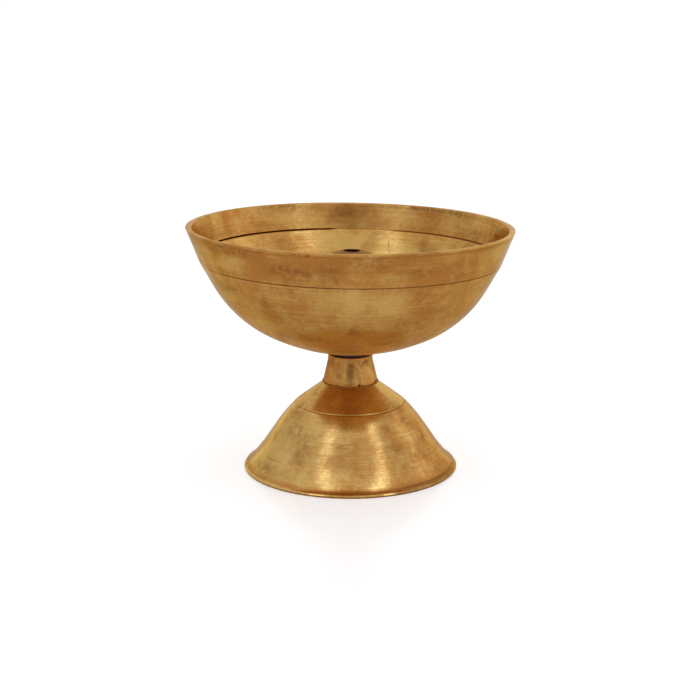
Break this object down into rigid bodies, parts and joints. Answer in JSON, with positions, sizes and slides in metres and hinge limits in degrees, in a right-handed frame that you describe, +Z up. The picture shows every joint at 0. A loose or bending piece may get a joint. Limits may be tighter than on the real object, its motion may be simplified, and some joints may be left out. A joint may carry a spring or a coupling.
{
  "type": "pedestal oil lamp",
  "caption": "Open brass oil lamp: a deep bowl screwed on to a hollow conical foot, with a loose bell-shaped wick holder standing in the bowl.",
  "frame": {"origin": "centre of the resting ring under the foot, on the table", "axes": "+Z up along the axis of the foot, the neck and the bowl; the lamp is round, so +X and +Y are any two level directions"},
  "size_m": [0.102, 0.102, 0.0774],
  "materials": {
    "foot_shell": "satin, lathe turned, browned with handling",
    "neck_collar": "satin, filed",
    "neck_braze": "as run, lumpy",
    "seat_washer": "dark, oil-soaked",
    "bowl": "satin, lathe turned, mottled brown tarnish",
    "bowl_spigot": "bright where the thread rubs",
    "spigot_solder": "dull soft solder",
    "wick_holder": "satin, browned by heat at the top"
  },
  "bodies": {
    "foot": {"foot_shell": "foot_shell", "neck_collar": "neck_collar", "neck_braze": "neck_braze"},
    "washer": {"seat_washer": "seat_washer"},
    "bowl": {"bowl": "bowl", "bowl_spigot": "bowl_spigot", "spigot_solder": "spigot_solder"},
    "wick_holder": {"wick_holder": "wick_holder"}
  },
  "joints": [
    {"name": "bowl_lift", "type": "slide", "parent": "foot", "child": "washer", "axis": [0, 0, 1], "range_m": [0, 0.0076]},
    {"name": "bowl_turn", "type": "hinge", "parent": "washer", "child": "bowl", "pos_m": [0, 0, 0.0374], "axis": [0, 0, 1], "range_deg": [0, 2160]},
    {"name": "wick_holder_lift", "type": "slide", "parent": "bowl", "child": "wick_holder", "axis": [0, 0, 1], "range_m": [0, 0.045]}
  ],
  "couplings": [
    {"joint": "bowl_lift", "follows": "bowl_turn", "m_per_rad": 0.00019894}
  ]
}
